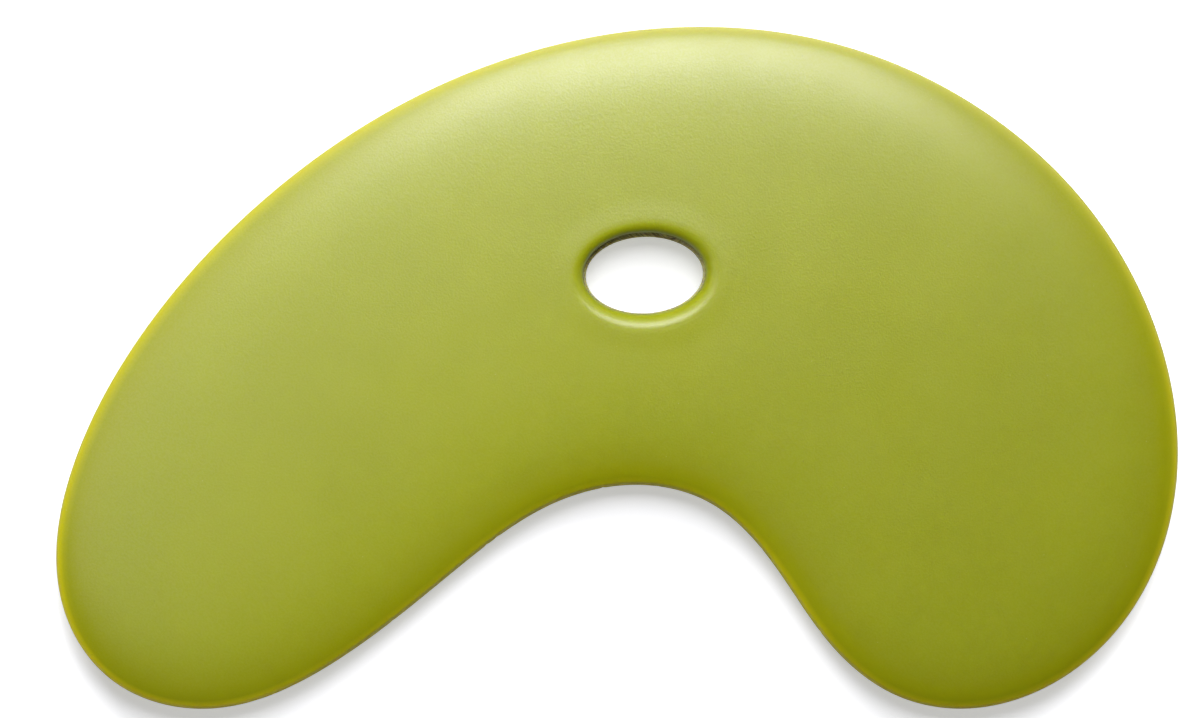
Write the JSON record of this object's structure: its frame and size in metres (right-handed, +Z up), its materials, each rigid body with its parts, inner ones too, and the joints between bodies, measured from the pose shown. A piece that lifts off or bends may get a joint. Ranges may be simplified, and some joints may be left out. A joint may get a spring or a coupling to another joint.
{
  "type": "pottery rib",
  "caption": "Flexible moulded pottery rib: an arched, two-footed pad tapered all round to a thin rim, with an oval finger hole near its back.",
  "frame": {"origin": "centre of the outline's box, on the lower flat face, the one the rib lies on", "axes": "+X along the rib's length towards the broad end, +Y across it from the feet to the back, +Z up through its thickness"},
  "size_m": [0.1622, 0.0986, 0.0064],
  "materials": {
    "soft_green_polyurethane": "translucent moulded elastomer with a fine matt grain"
  },
  "bodies": {
    "root": {"rib": "soft_green_polyurethane"}
  },
  "joints": []
}
